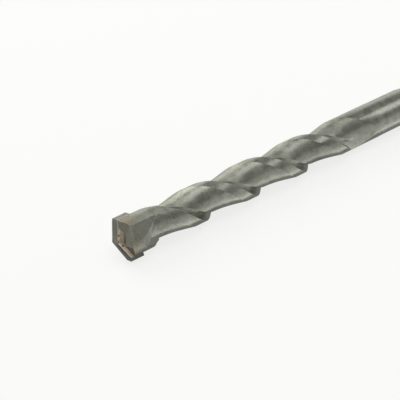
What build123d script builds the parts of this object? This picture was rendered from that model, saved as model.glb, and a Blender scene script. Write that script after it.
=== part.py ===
from build123d import *
from math import atan, cos, degrees, hypot, radians, sin, sqrt, tan
import os

# Masonry drill bit: a twisted steel body with a slotted shank, and a brazed carbide tip.
# Millimetres. X runs along the bit, from the tip to the striking face at X = 0.
# The bit lies flat and Z is up. Angles round the axis grow from +Y towards +Z.
# Depths are measured along X from the point of the tip.

# Bar
overall_length = 160.0
land_diameter = 10.6
neck_diameter = 10.5
shank_diameter = 10.0
shank_length = 47.0
guide_length = 12.0
grooved_diameter, guide_taper = 9.9, 0.5
taper_length = 2.5
end_chamfer = 1.0
neck_step_start, neck_step_length = 3.0, 2.0

# Twist, and the flute's section from its rising lip to its steep wall.
# The radii are fractions of the land's radius and the angles are counted from the lip.
lead = 37.8
lip_at_tip = -9.0
flute_start, flute_end = 3.0, 94.3
flute_overrun = 0.8
ramp_start_radius, ramp_start_angle = 1.047, -15.0
ramp_middle_radius, ramp_middle_angle = 0.769, 70.0
shoulder_radius, shoulder_angle = 0.712, 110.5
foot_radius, wall_angle = 0.585, 140.7
clear_radius = 1.4

# Carbide plate, its slot and its braze
cutting_diameter = 12.3
plate_azimuth = 241.8
plate_thickness = 2.0
plate_length = 6.7
point_angle = 135.5
roof_relief = 10.0
side_relief = 13.0
braze_gap = 0.15
bead_width = 1.1

# Ground faces of the steel head: azimuth, slope and depth at the axis.
# The same set is on both sides of the plate, and one side is ground deeper by the extra.
flat_azimuth, flat_distance, flat_end = 137.4, 4.86, 11.8
ramp_in_faces = ((178.9, 22.0, 6.98), (184.9, 29.0, 7.78))
ramp_in_end = 14.6
leading_facet = (241.8, 24.5, 0.95)
trailing_facet = (61.8, 24.5, 0.33)
valley_floor = (104.5, 25.0, 1.27)
valley_side = (137.8, 31.7, 0.83)
leading_bead = (178.7, 45.3, -0.75)
trailing_bead = (129.3, 50.0, -0.8)
far_side_extra = 1.6

# Leaf shaped face that closes each flute at the neck
leaf_azimuth, leaf_lean, leaf_turn = 174.4, 10.1, 8.7
leaf_offset = 1.5

# Grooves of the shank: two open keyways and two closed lock grooves
groove_azimuth = plate_azimuth
keyway_width, keyway_depth, keyway_length = 3.0, 1.4, 33.0
keyway_runout = 6.0
lock_radius, lock_floor = 3.5, 3.75
lock_start, lock_end = 9.0, 29.0

land_radius = land_diameter / 2
neck_radius = neck_diameter / 2
shank_radius = shank_diameter / 2
grooved_radius = grooved_diameter / 2
half_plate = plate_thickness / 2
half_slot = half_plate + braze_gap
tip_x = -overall_length
reach = 20.0


def spoke(azimuth, radius=1.0):
    """Vector that points out from the axis at this angle."""
    return Vector(0, radius * cos(radians(azimuth)), radius * sin(radians(azimuth)))


def ring(azimuth, fraction):
    """Point of a cross-section, with its radius as a fraction of the land's."""
    point = spoke(azimuth, fraction * land_radius)
    return (point.Y, point.Z)


def meridian(azimuth, x=0.0):
    """Plane through the axis, with sketch X along the bit and sketch Y pointing out."""
    return Plane(origin=(x, 0, 0), x_dir=(1, 0, 0), z_dir=spoke(azimuth + 90))


def outward(azimuth, lean, distance, x):
    """Plane that faces out at this angle, leaning towards the shank, at this distance from X = x."""
    normal = spoke(azimuth, cos(radians(lean))) + Vector(sin(radians(lean)), 0, 0)
    along = Vector(cos(radians(lean)), 0, 0) - spoke(azimuth, sin(radians(lean)))
    return Plane(origin=Vector(x, 0, 0) + normal * distance, x_dir=along, z_dir=normal)


def facet(azimuth, slope, depth):
    """Plane that faces the tip, crosses the axis at this depth and falls away towards this angle."""
    normal = spoke(azimuth, sin(radians(slope))) - Vector(cos(radians(slope)), 0, 0)
    return Plane(origin=(tip_x + depth, 0, 0), z_dir=normal)


def ground_off(*facets):
    """What is ground off one side of the head, in front of all of these facets."""
    with BuildPart() as cut:
        with BuildSketch(meridian(plate_azimuth - 180, tip_x)):
            Rectangle(reach, reach)
        extrude(amount=reach)
        for one in facets:
            split(bisect_by=facet(*one), keep=Keep.TOP)
    return cut.part


# Bar that everything else is cut from
step_x = tip_x + flute_end + neck_step_start
guide_end = guide_length - shank_length
with BuildPart() as bar:
    with BuildSketch(Plane.XY):
        with BuildLine():
            Polyline(
                (tip_x, 0),
                (tip_x, land_radius),
                (step_x, land_radius),
                (step_x + neck_step_length, neck_radius),
                (-shank_length - taper_length, neck_radius),
                (-shank_length, shank_radius),
                (guide_end, shank_radius),
                (guide_end + guide_taper, grooved_radius),
                (-end_chamfer, grooved_radius),
                (0, grooved_radius - end_chamfer),
                (0, 0),
                close=True,
            )
        make_face()
    revolve(axis=Axis.X)

# Block behind the sloping start of a flute, which keeps the head solid
with BuildPart() as head_block:
    with BuildSketch(Plane.YZ.offset(tip_x + ramp_in_end)):
        Rectangle(2 * reach, 2 * reach)
    extrude(amount=-reach)
    for azimuth, lean, distance in ramp_in_faces:
        split(bisect_by=outward(azimuth, lean, distance, tip_x), keep=Keep.BOTTOM)

# Block behind the leaf shaped face
leaf_distance = land_radius * cos(radians(leaf_lean))
leaf_plane = outward(leaf_azimuth, -leaf_lean, leaf_distance, tip_x + flute_end)
with BuildPart() as leaf_block:
    with BuildSketch(leaf_plane):
        with Locations((0, leaf_offset)):
            Rectangle(2 * reach, reach, rotation=leaf_turn, align=(Align.CENTER, Align.MAX))
    extrude(amount=-reach)

# One flute, turned about the axis as it goes along, between the two blocks
sweep_start = tip_x + flute_start
sweep_end = tip_x + flute_end + flute_overrun
sweep_length = sweep_end - sweep_start
lip = lip_at_tip + 360 * (sweep_start - tip_x) / lead
wall = lip + wall_angle
with BuildPart() as flute:
    with BuildLine() as flute_path:
        Line((sweep_start, 0, 0), (sweep_end, 0, 0))
    with BuildLine() as flute_twist:
        Helix(lead, sweep_length, land_radius, center=(sweep_start, 0, 0), direction=(1, 0, 0))
    with BuildSketch(Plane.YZ.offset(sweep_start)):
        with BuildLine():
            shoulder = ring(lip + shoulder_angle, shoulder_radius)
            foot = ring(wall, foot_radius)
            ramp_start = ring(lip + ramp_start_angle, ramp_start_radius)
            ramp_middle = ring(lip + ramp_middle_angle, ramp_middle_radius)
            clear_start = ring(lip + ramp_start_angle, clear_radius)
            clear_middle = ring(lip + wall_angle / 2, clear_radius)
            clear_end = ring(wall, clear_radius)
            ThreePointArc(ramp_start, ramp_middle, shoulder)
            Line(shoulder, foot)
            Line(foot, clear_end)
            ThreePointArc(clear_end, clear_middle, clear_start)
            Line(clear_start, ramp_start)
        make_face()
    sweep(path=flute_path.line, binormal=flute_twist.edge())
    add(head_block.part, mode=Mode.SUBTRACT)
    add(leaf_block.part, mode=Mode.SUBTRACT)

# Shank grooves
with BuildPart() as keyway:
    with BuildSketch(meridian(groove_azimuth + 90)):
        with BuildLine():
            floor = shank_radius - keyway_depth
            top = shank_radius + keyway_depth
            floor_end = -keyway_length + sqrt(keyway_runout**2 - (keyway_runout - keyway_depth) ** 2)
            Line((keyway_depth, top), (keyway_depth, floor))
            Line((keyway_depth, floor), (floor_end, floor))
            runout = TangentArc((floor_end, floor), (-keyway_length, shank_radius), tangent=(-1, 0))
            Line(runout @ 1, (-keyway_length, top))
            Line((-keyway_length, top), (keyway_depth, top))
        make_face()
    extrude(amount=keyway_width / 2, both=True)
lock_centre = lock_floor + lock_radius
with BuildPart() as lock_groove:
    with BuildSketch(meridian(groove_azimuth)):
        with BuildLine():
            near_end = -lock_start - lock_radius
            far_end = -lock_end + lock_radius
            Line((-lock_start, lock_centre), (-lock_end, lock_centre))
            RadiusArc((-lock_end, lock_centre), (far_end, lock_floor), lock_radius)
            Line((far_end, lock_floor), (near_end, lock_floor))
            RadiusArc((near_end, lock_floor), (-lock_start, lock_centre), lock_radius)
        make_face()
    revolve(axis=Axis(spoke(groove_azimuth, lock_centre), (1, 0, 0)))

# Slot for the plate, open at the tip and on both sides
with BuildPart() as slot:
    with BuildSketch(meridian(plate_azimuth, tip_x)):
        Rectangle(2 * (plate_length + braze_gap), 2 * reach)
    extrude(amount=half_slot, both=True)

# Steel without its slot, then the body
sides = ((0, 0), (180, far_side_extra))
facets_off = [ground_off(leading_facet), ground_off(trailing_facet), ground_off(valley_side, valley_floor)]
with BuildPart() as solid_head:
    add(bar.part)
    for turn, extra in sides:
        with BuildSketch(outward(flat_azimuth + turn, 0, flat_distance, tip_x)):
            Rectangle(2 * flat_end, 2 * reach)
        extrude(amount=reach, mode=Mode.SUBTRACT)
        for cut in (flute.part, keyway.part, lock_groove.part):
            add(cut, rotation=(turn, 0, 0), mode=Mode.SUBTRACT)
        with Locations((extra, 0, 0)):
            for cut in facets_off:
                add(cut, rotation=(turn, 0, 0), mode=Mode.SUBTRACT)
with BuildPart() as steel_body:
    add(solid_head.part)
    add(slot.part, mode=Mode.SUBTRACT)

# Carbide plate: two roofs that fall back behind each cutting edge, and sides with relief
roof_slope = 1 / tan(radians(point_angle / 2))
relief_slope = tan(radians(roof_relief))
roof = (
    plate_azimuth + degrees(atan(relief_slope / roof_slope)),
    degrees(atan(hypot(roof_slope, relief_slope))),
)
half_width = sqrt((cutting_diameter / 2) ** 2 - half_plate**2)
with BuildPart() as carbide_tip:
    with BuildSketch(meridian(plate_azimuth, tip_x)):
        Rectangle(2 * plate_length, 2 * half_width)
    extrude(amount=half_plate, both=True)
    for turn in (0, 180):
        corner = spoke(plate_azimuth + turn, half_width) + spoke(plate_azimuth + turn - 90, half_plate)
        split(bisect_by=facet(roof[0] + turn, roof[1], 0), keep=Keep.BOTTOM)
        split(bisect_by=Plane(origin=corner, z_dir=spoke(plate_azimuth + turn + side_relief)), keep=Keep.BOTTOM)

# Braze: fills the gap round the plate, and stands as a sloping bead in the corner beside it
with BuildPart() as braze_seam:
    with BuildSketch(meridian(plate_azimuth, tip_x)):
        Rectangle(2 * (plate_length + braze_gap), 2 * land_radius)
    extrude(amount=half_plate + bead_width, both=True)
    with BuildSketch(Plane.YZ.offset(tip_x), mode=Mode.PRIVATE) as land_circle:
        Circle(land_radius)
    extrude(land_circle.sketch, amount=reach, mode=Mode.INTERSECT)
    for turn, extra in sides:
        with Locations((extra, 0, 0)):
            for bead in (leading_bead, trailing_bead):
                add(ground_off(bead), rotation=(turn, 0, 0), mode=Mode.SUBTRACT)
    with BuildSketch(meridian(plate_azimuth, tip_x)):
        Rectangle(2 * plate_length, 2 * reach)
    extrude(amount=half_plate, both=True, mode=Mode.SUBTRACT)
    add(steel_body.part, mode=Mode.SUBTRACT)

os.makedirs("parts", exist_ok=True)
steel_body.part.label = "steel_body"
carbide_tip.part.label = "carbide_tip"
braze_seam.part.label = "braze_seam"
export_step(steel_body.part, "parts/steel_body.step")
export_step(carbide_tip.part, "parts/carbide_tip.step")
export_step(braze_seam.part, "parts/braze_seam.step")
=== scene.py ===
import math

import bmesh
import bpy
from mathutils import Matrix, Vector


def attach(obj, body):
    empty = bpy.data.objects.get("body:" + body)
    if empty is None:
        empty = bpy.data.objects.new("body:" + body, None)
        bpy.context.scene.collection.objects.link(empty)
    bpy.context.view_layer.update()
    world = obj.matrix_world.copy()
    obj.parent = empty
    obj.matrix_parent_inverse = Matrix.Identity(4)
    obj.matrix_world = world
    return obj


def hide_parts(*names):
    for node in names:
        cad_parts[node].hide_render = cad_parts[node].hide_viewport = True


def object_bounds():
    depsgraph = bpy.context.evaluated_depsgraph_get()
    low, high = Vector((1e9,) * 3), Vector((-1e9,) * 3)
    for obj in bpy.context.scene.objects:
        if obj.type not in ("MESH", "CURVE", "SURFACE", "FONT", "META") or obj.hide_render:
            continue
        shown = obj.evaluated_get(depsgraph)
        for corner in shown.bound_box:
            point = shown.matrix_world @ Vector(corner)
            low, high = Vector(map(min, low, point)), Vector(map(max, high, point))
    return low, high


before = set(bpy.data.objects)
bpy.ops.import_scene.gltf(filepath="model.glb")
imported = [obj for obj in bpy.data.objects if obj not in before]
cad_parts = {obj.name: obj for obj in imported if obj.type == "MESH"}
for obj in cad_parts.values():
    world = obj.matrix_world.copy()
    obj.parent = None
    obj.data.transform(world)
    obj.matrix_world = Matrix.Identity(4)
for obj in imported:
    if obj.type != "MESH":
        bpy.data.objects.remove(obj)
record_low, record_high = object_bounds()

MM = 0.001
TIP_X = -160 * MM
LAND_RADIUS = 5.3 * MM
PLATE_AZIMUTH = math.radians(241.8)
CREASE = math.radians(14)
MERGE = 0.0005 * MM

# Colours, linear
STEEL_DARK, STEEL_LIGHT = (0.30, 0.305, 0.26, 1), (0.42, 0.425, 0.37, 1)
STEEL_BLOTCH = (0.19, 0.19, 0.155, 1)
STEEL_HEAT = (0.40, 0.31, 0.20, 1)
STEEL_HEAD = (0.17, 0.17, 0.145, 1)
STEEL_WORN = (0.66, 0.66, 0.60, 1)
SPECK_LIGHT, SPECK_DARK = (0.52, 0.525, 0.46, 1), (0.15, 0.15, 0.125, 1)
CARBIDE_DARK, CARBIDE_LIGHT = (0.19, 0.195, 0.175, 1), (0.29, 0.295, 0.265, 1)
CARBIDE_WORN = (0.42, 0.42, 0.38, 1)
BRAZE_DARK, BRAZE_LIGHT = (0.33, 0.26, 0.18, 1), (0.56, 0.47, 0.35, 1)
BRAZE_SPOT = (0.10, 0.055, 0.03, 1)
# The first cream is braze on the plate's faces brightened into a painted highlight; the second is braze
# beside the plate
BRAZE_AND_HIGHLIGHT_LINE, BRAZE_RIM = (0.88, 0.80, 0.68, 1), (0.90, 0.80, 0.66, 1)
FLOOR_TINT = 0.985

# Floor: what the metal mirrors has a painted shadow beside the bit and a painted pool of light just
# beyond it, which falls off from there
FLOOR_GAP = 0.02 * MM
FLOOR_HALF = 4.0
PAINTED_SHADOW_TO = 7.2 * MM
PAINTED_SHADOW_EDGE = 0.2 * MM
PAINTED_POOL_FALL = 3.0 * MM
PAINTED_SHADOW_GLOW, FAR_GLOW, PAINTED_POOL_EXTRA = 0.34, 0.66, 1.20
CAMERA_DIFFUSE, CAMERA_GLOW, OTHER_DIFFUSE = 0.25, 0.78, 0.80

# Sky: dark, brighter near the horizon and low down behind the bit
SKY_TINT = (0.95, 0.97, 0.93, 1)
SKY_LEVEL, SKY_HORIZON, SKY_LOW_BEHIND = 0.32, 0.35, 1.1

# Soft lights: azimuth and elevation in degrees, side in metres, power in watts, colour
LIGHT_TARGET = Vector((-0.11, 0, 0))
LIGHT_DISTANCE = 0.9
LIGHTS = {
    "back": (85, 40, 0.60, 2.5, (1.0, 0.97, 0.92)),
    "front": (-20, 38, 0.34, 0.55, (1, 1, 1)),
    "top": (0, 84, 0.60, 1.6, (1, 1, 1)),
}

CAMERA_PLACE = (-0.3417, -0.2378, 0.2046)
CAMERA_DIRECTION = (0.559, 0.6295, -0.5395)
CAMERA_LENS = 126


def around(azimuth):
    """Direction that points out from the bit's axis at this angle."""
    return Vector((0, math.cos(azimuth), math.sin(azimuth)))


class Graph:
    """Short words for building a shader out of nodes."""

    def __init__(self, tree):
        self.tree = tree
        self.tree.nodes.clear()

    def put(self, socket, value):
        if isinstance(value, bpy.types.NodeSocket):
            self.tree.links.new(value, socket)
        else:
            socket.default_value = value

    def node(self, kind, inputs=None, **settings):
        made = self.tree.nodes.new(kind)
        for key, value in settings.items():
            setattr(made, key, value)
        for key, value in (inputs or {}).items():
            self.put(made.inputs[key], value)
        return made

    def position(self):
        return self.node("ShaderNodeTexCoord").outputs["Object"]

    def parts(self, vector):
        return self.node("ShaderNodeSeparateXYZ", {"Vector": vector}).outputs

    def math(self, operation, a, b=0.0, c=0.0, clamp=False):
        inputs = {0: a, 1: b, 2: c}
        return self.node("ShaderNodeMath", inputs, operation=operation, use_clamp=clamp).outputs[0]

    def times(self, a, b, clamp=False):
        return self.math("MULTIPLY", a, b, clamp=clamp)

    def dot(self, a, b):
        return self.node("ShaderNodeVectorMath", {0: a, 1: b}, operation="DOT_PRODUCT").outputs["Value"]

    def noise(self, vector, scale, detail=3.0, roughness=0.55):
        inputs = {"Vector": vector, "Scale": scale, "Detail": detail, "Roughness": roughness}
        return self.node("ShaderNodeTexNoise", inputs).outputs["Fac"]

    def stretch(self, vector, scale):
        return self.node("ShaderNodeMapping", {"Vector": vector, "Scale": scale}).outputs["Vector"]

    def span(self, value, low, high, to_low=0.0, to_high=1.0, smooth=True):
        kind = "SMOOTHSTEP" if smooth else "LINEAR"
        inputs = {"Value": value, "From Min": low, "From Max": high, "To Min": to_low, "To Max": to_high}
        return self.node("ShaderNodeMapRange", inputs, interpolation_type=kind).outputs["Result"]

    def mix(self, factor, a, b):
        made = self.node("ShaderNodeMix", data_type="RGBA")
        self.put(made.inputs[0], factor)
        self.put(made.inputs[6], a)
        self.put(made.inputs[7], b)
        return made.outputs[2]

    def bump(self, height, strength, distance, normal):
        inputs = {"Height": height, "Strength": strength, "Distance": distance, "Normal": normal}
        return self.node("ShaderNodeBump", inputs).outputs["Normal"]

    def rounded(self, radius):
        return self.node("ShaderNodeBevel", {"Radius": radius}, samples=6).outputs["Normal"]

    def edge(self, radius, full):
        """1 on sharp edges and 0 away from them, from how far rounding turns the surface."""
        plain = self.node("ShaderNodeNewGeometry").outputs["Normal"]
        return self.span(self.dot(self.rounded(radius), plain), 0.996, full)

    def from_plate_middle(self, position):
        """Distance from the middle plane of the carbide plate, in mm."""
        across = around(PLATE_AZIMUTH + math.pi / 2) / MM
        return self.math("ABSOLUTE", self.dot(position, tuple(across)))

    def principled(self, **inputs):
        made = self.node("ShaderNodeBsdfPrincipled")
        for key, value in inputs.items():
            self.put(made.inputs[key.replace("_", " ")], value)
        return made.outputs["BSDF"]

    def surface(self, shader):
        self.node("ShaderNodeOutputMaterial", {"Surface": shader})


def new_material(name):
    material = bpy.data.materials.new(name)
    material.use_nodes = True
    return material, Graph(material.node_tree)


def steel():
    """Blasted steel: smoother lands, matt ground head, heat stains near the tip and worn edges."""
    material, g = new_material("steel")
    p = g.position()
    place = g.parts(p)
    squares = [g.math("POWER", place[axis], 2.0) for axis in ("Y", "Z")]
    radius = g.math("SQRT", g.math("ADD", *squares))
    from_tip = g.math("SUBTRACT", place["X"], TIP_X)
    land = g.span(radius, LAND_RADIUS * 0.955, LAND_RADIUS * 0.978)
    head = g.span(from_tip, 11 * MM, 6 * MM)
    mottle = g.noise(p, 420, 5, 0.6)
    blotch = g.noise(p, 130, 3)
    speck = g.noise(p, 2100, 4, 0.7)
    grain = g.noise(g.stretch(p, (160, 1400, 1400)), 1.0, 4, 0.6)

    base = g.mix(g.span(mottle, 0.35, 0.7), STEEL_DARK, STEEL_LIGHT)
    base = g.mix(g.span(blotch, 0.45, 0.75, 0.0, 0.5), base, STEEL_BLOTCH)
    heat = g.times(g.span(from_tip, 13 * MM, 4 * MM), g.span(blotch, 0.42, 0.62), clamp=True)
    heated = g.span(radius, LAND_RADIUS * 0.86, LAND_RADIUS * 0.97, 0.12, 0.6)
    base = g.mix(g.times(heat, heated), base, STEEL_HEAT)
    base = g.mix(g.span(speck, 0.42, 0.66, 0.0, 0.40), base, SPECK_LIGHT)
    base = g.mix(g.span(speck, 0.46, 0.30, 0.0, 0.35), base, SPECK_DARK)
    base = g.mix(g.times(head, 0.35), base, STEEL_HEAD)
    wear = g.times(g.edge(0.16 * MM, 0.93), g.span(mottle, 0.30, 0.55, 0.25, 0.85))
    base = g.mix(wear, base, STEEL_WORN)

    rough = g.math("ADD", g.span(mottle, 0.3, 0.7, 0.0, 0.10), g.span(land, 0, 1, 0.32, 0.26))
    rough = g.math("MULTIPLY_ADD", head, 0.16, rough)
    rough = g.math("MULTIPLY_ADD", wear, -0.08, rough)
    normal = g.bump(grain, 0.06, 0.05 * MM, g.rounded(0.10 * MM))
    normal = g.bump(mottle, g.span(land, 0, 1, 0.16, 0.04), 0.12 * MM, normal)
    g.surface(g.principled(Base_Color=base, Metallic=1.0, Roughness=rough, Normal=normal))
    return material


def carbide():
    """Matt grey plate, wetted by braze along the upper half of its faces, where the bright cream is
    partly a painted highlight.
    """
    material, g = new_material("carbide")
    p = g.position()
    grain = g.noise(p, 900, 4, 0.6)
    worn = g.noise(p, 300, 3)
    # Cream on the upper half of the plate's faces: braze, partly painted highlight
    upper = g.span(g.dot(p, tuple(around(PLATE_AZIMUTH) / -MM)), -0.2, 0.6)
    uneven = g.math("ADD", g.from_plate_middle(p), g.span(worn, 0.3, 0.7, -0.05, 0.05))
    line = g.times(g.span(uneven, 0.93, 0.97), upper, clamp=True)

    base = g.mix(g.span(worn, 0.4, 0.7), CARBIDE_DARK, CARBIDE_LIGHT)
    base = g.mix(line, base, BRAZE_AND_HIGHLIGHT_LINE)
    base = g.mix(g.times(g.edge(0.12 * MM, 0.90), g.span(worn, 0.3, 0.6, 0.2, 0.7)), base, CARBIDE_WORN)
    rough = g.span(line, 0, 1, 0.48, 0.36, smooth=False)
    normal = g.bump(grain, 0.35, 0.10 * MM, g.rounded(0.08 * MM))
    g.surface(g.principled(Base_Color=base, Metallic=0.75, Roughness=rough, Normal=normal))
    return material


def braze():
    """Lumpy tan metal with dark spots, cream beside the plate."""
    material, g = new_material("braze")
    p = g.position()
    lumps = g.noise(p, 520, 4, 0.6)
    spots = g.noise(p, 820, 2)
    uneven = g.math("ADD", g.from_plate_middle(p), g.span(lumps, 0.3, 0.7, -0.12, 0.12))
    rim = g.times(g.span(uneven, 1.55, 1.20), g.span(spots, 0.66, 0.56, 0.15, 0.85))

    base = g.mix(g.span(lumps, 0.35, 0.65), BRAZE_DARK, BRAZE_LIGHT)
    base = g.mix(g.span(spots, 0.60, 0.70), base, BRAZE_SPOT)
    base = g.mix(rim, base, BRAZE_RIM)
    normal = g.bump(lumps, 0.6, 0.20 * MM, g.rounded(0.15 * MM))
    g.surface(g.principled(Base_Color=base, Metallic=0.6, Roughness=0.45, Normal=normal))
    return material


def ground_white():
    """White ground with a weak shadow for the camera; what the metal mirrors is its own glow, with a
    painted shadow beside the bit and a painted pool of light just beyond.
    """
    material, g = new_material("ground_white")
    path = g.node("ShaderNodeLightPath").outputs
    from_bit = g.math("ABSOLUTE", g.parts(g.position())["Y"])
    # Glow for what the metal mirrors: a painted shadow out to a set distance from the bit's line, then a
    # painted pool of light that falls off outwards
    fall = g.math("EXPONENT", g.times(g.math("SUBTRACT", PAINTED_SHADOW_TO, from_bit), 1 / PAINTED_POOL_FALL))
    lit = g.math("MULTIPLY_ADD", g.math("MINIMUM", fall, 1.0), PAINTED_POOL_EXTRA, FAR_GLOW)
    beyond = g.span(from_bit, PAINTED_SHADOW_TO - PAINTED_SHADOW_EDGE, PAINTED_SHADOW_TO + PAINTED_SHADOW_EDGE)
    mirrored_painted_glow = g.math("MULTIPLY_ADD", g.math("SUBTRACT", lit, PAINTED_SHADOW_GLOW), beyond, PAINTED_SHADOW_GLOW)

    def diffuse(shade):
        inputs = {"Color": (shade, shade, shade * FLOOR_TINT, 1)}
        return g.node("ShaderNodeBsdfDiffuse", inputs).outputs["BSDF"]

    def glowing(strength):
        inputs = {"Color": (1, 1, FLOOR_TINT, 1), "Strength": strength}
        return g.node("ShaderNodeEmission", inputs).outputs["Emission"]

    def choose(factor, otherwise, chosen):
        return g.node("ShaderNodeMixShader", {0: factor, 1: otherwise, 2: chosen}).outputs["Shader"]

    mirrored = g.math("MAXIMUM", path["Is Glossy Ray"], path["Is Transmission Ray"])
    seen = g.node("ShaderNodeAddShader", {0: diffuse(CAMERA_DIFFUSE), 1: glowing(CAMERA_GLOW)})
    unseen = choose(mirrored, diffuse(OTHER_DIFFUSE), glowing(mirrored_painted_glow))
    g.surface(choose(path["Is Camera Ray"], unseen, seen.outputs["Shader"]))
    return material


def shown(node, material):
    """A copy of a CAD node with merged points and smooth shading up to its creases."""
    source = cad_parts[node]
    mesh = source.data.copy()
    mesh.name = node + "_shown"
    work = bmesh.new()
    work.from_mesh(mesh)
    bmesh.ops.remove_doubles(work, verts=work.verts, dist=MERGE)
    work.to_mesh(mesh)
    work.free()
    for name in ("custom_normal", "sharp_face", "sharp_edge"):
        found = mesh.attributes.get(name)
        if found is not None:
            mesh.attributes.remove(found)
    mesh.materials.clear()
    mesh.materials.append(material)
    mesh.polygons.foreach_set("use_smooth", [True] * len(mesh.polygons))
    mesh.set_sharp_from_angle(angle=CREASE)
    piece = bpy.data.objects.new(node + "_shown", mesh)
    bpy.context.scene.collection.objects.link(piece)
    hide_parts(node)
    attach(piece, "root")


def aimed(name, data, location, direction):
    """A light or a camera at this place that looks this way."""
    made = bpy.data.objects.new(name, data)
    made.location = location
    made.rotation_mode = "QUATERNION"
    made.rotation_quaternion = direction.to_track_quat("-Z", "Y")
    bpy.context.scene.collection.objects.link(made)
    return made


def softbox(name, azimuth, elevation, side, power, tint):
    """A square light in this direction from the target, in degrees from +X and above the horizon."""
    data = bpy.data.lights.new(name, "AREA")
    data.shape = "RECTANGLE"
    data.size = data.size_y = side
    data.energy = power
    data.color = tint
    a, e = math.radians(azimuth), math.radians(elevation)
    out = Vector((math.cos(e) * math.cos(a), math.cos(e) * math.sin(a), math.sin(e)))
    aimed(name, data, LIGHT_TARGET + LIGHT_DISTANCE * out, -out)


def studio_world():
    world = bpy.data.worlds.new("world")
    world.use_nodes = True
    sky = Graph(world.node_tree)
    way = sky.parts(sky.node("ShaderNodeTexCoord").outputs["Generated"])
    low_behind = sky.times(sky.span(way["Z"], 0.52, 0.36), sky.span(way["Y"], 0.30, 0.60))
    strength = sky.math("MULTIPLY_ADD", sky.span(way["Z"], 0.26, 0.0), SKY_HORIZON, SKY_LEVEL)
    strength = sky.math("MAXIMUM", strength, sky.times(low_behind, SKY_LOW_BEHIND))
    background = sky.node("ShaderNodeBackground", {"Color": SKY_TINT, "Strength": strength})
    sky.node("ShaderNodeOutputWorld", {"Surface": background.outputs["Background"]})
    return world


# The bit
shown("steel_body", steel())
shown("carbide_tip", carbide())
shown("braze_seam", braze())

# The floor, just under the bit
ground_mesh = bpy.data.meshes.new("ground")
corners = [(x * FLOOR_HALF, y * FLOOR_HALF, 0) for x, y in ((-1, -1), (1, -1), (1, 1), (-1, 1))]
ground_mesh.from_pydata(corners, [], [(0, 1, 2, 3)])
ground_mesh.materials.append(ground_white())
ground = bpy.data.objects.new("ground", ground_mesh)
ground.location = (0, 0, record_low.z - FLOOR_GAP)
bpy.context.scene.collection.objects.link(ground)

# Light and camera
for light_name, settings in LIGHTS.items():
    softbox(light_name, *settings)
bpy.context.scene.world = studio_world()
bpy.context.scene.view_settings.view_transform = "Standard"

camera_data = bpy.data.cameras.new("camera")
camera_data.lens = CAMERA_LENS
camera_data.sensor_width = 36
camera_data.clip_start = 0.01
bpy.context.scene.camera = aimed("camera", camera_data, CAMERA_PLACE, Vector(CAMERA_DIRECTION))
